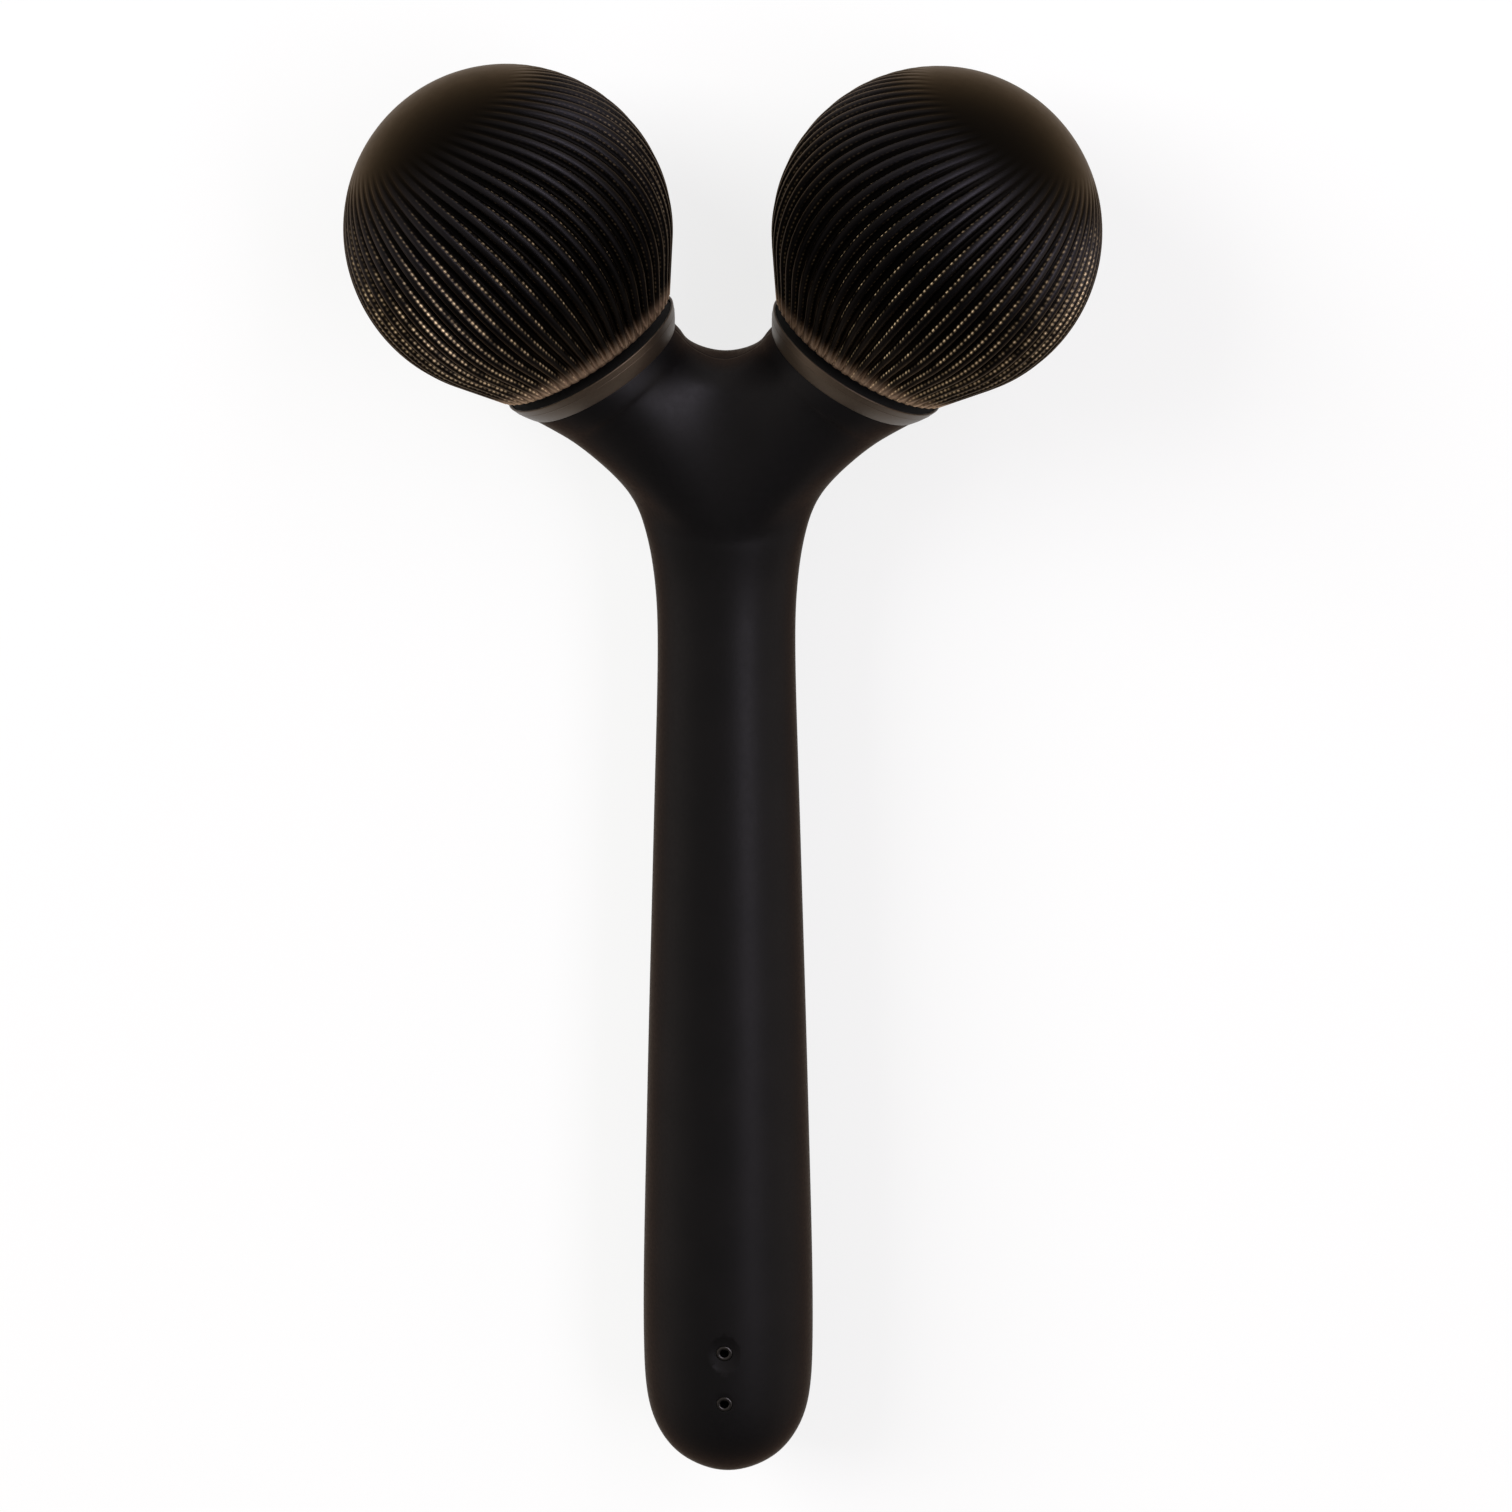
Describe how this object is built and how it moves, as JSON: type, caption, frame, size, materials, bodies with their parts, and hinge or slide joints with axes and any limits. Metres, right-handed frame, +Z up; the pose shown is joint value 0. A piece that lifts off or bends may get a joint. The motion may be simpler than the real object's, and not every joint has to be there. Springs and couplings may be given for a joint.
{
  "type": "facial roller",
  "caption": "Y-shaped facial massage roller: a tapered round handle forks into short arms with flared collars, each carrying a ribbed ball that spins freely on its axle.",
  "frame": {"origin": "on the table under the middle of the object's box", "axes": "+Y along the handle towards the balls, +X to the right seen from above, +Z up from the table, towards the side with the charging contacts"},
  "size_m": [0.0782, 0.1624, 0.034],
  "materials": {
    "shell_black": "soft-touch black",
    "ball_black": "satin black with a warm sheen",
    "collar_taupe": "satin taupe",
    "inner_black": "moulded",
    "steel": "ground",
    "bronze": "sintered",
    "washer_black": "smooth",
    "contact_metal": "plated",
    "board_green": "solder mask",
    "cell_wrap": "shrink sleeve",
    "nickel": "nickel",
    "magnet": "nickel plated",
    "lead_sleeve": "wire sleeve",
    "button_black": "soft-touch black"
  },
  "bodies": {
    "handle": {"back_shell": "shell_black", "front_shell": "shell_black", "contact_lower": "contact_metal", "contact_upper": "contact_metal", "main_board": "board_green", "board_screws": "steel", "tact_switch": "inner_black", "contact_carrier": "inner_black", "charge_magnet": "magnet", "chassis": "inner_black", "battery_cell": "cell_wrap", "battery_tab_minus": "nickel", "battery_tab_plus": "nickel", "motor_case": "steel", "battery_leads": "lead_sleeve", "motor_leads": "lead_sleeve", "axle_block_left": "inner_black", "axle_left": "steel", "retaining_ring_left": "steel", "collar_left": "collar_taupe", "thrust_washer_left": "washer_black", "axle_block_right": "inner_black", "axle_right": "steel", "retaining_ring_right": "steel", "collar_right": "collar_taupe", "thrust_washer_right": "washer_black"},
    "roller_left": {"ball_left": "ball_black", "hub_left": "inner_black", "bush_inner_left": "bronze", "bush_outer_left": "bronze"},
    "roller_right": {"ball_right": "ball_black", "hub_right": "inner_black", "bush_inner_right": "bronze", "bush_outer_right": "bronze"},
    "power_button": {"power_button": "button_black"},
    "motor_rotor": {"motor_shaft": "steel", "eccentric_weight": "steel"}
  },
  "joints": [
    {"name": "roller_left_spin", "type": "hinge", "parent": "handle", "child": "roller_left", "pos_m": [-0.0221, 0.06418, 0.017], "axis": [-0.515, 0.8406, 0.1678], "continuous": true},
    {"name": "roller_right_spin", "type": "hinge", "parent": "handle", "child": "roller_right", "pos_m": [0.0221, 0.06418, 0.017], "axis": [0.515, 0.8406, 0.1678], "continuous": true},
    {"name": "power_button_press", "type": "slide", "parent": "handle", "child": "power_button", "axis": [0, 0, 1], "range_m": [0, 0.0005], "stiffness_N_per_m": 2000, "springref_m": -0.0004},
    {"name": "motor_rotor_spin", "type": "hinge", "parent": "handle", "child": "motor_rotor", "pos_m": [0, 0.01372, 0.0098], "axis": [0, 1, 0], "continuous": true}
  ]
}
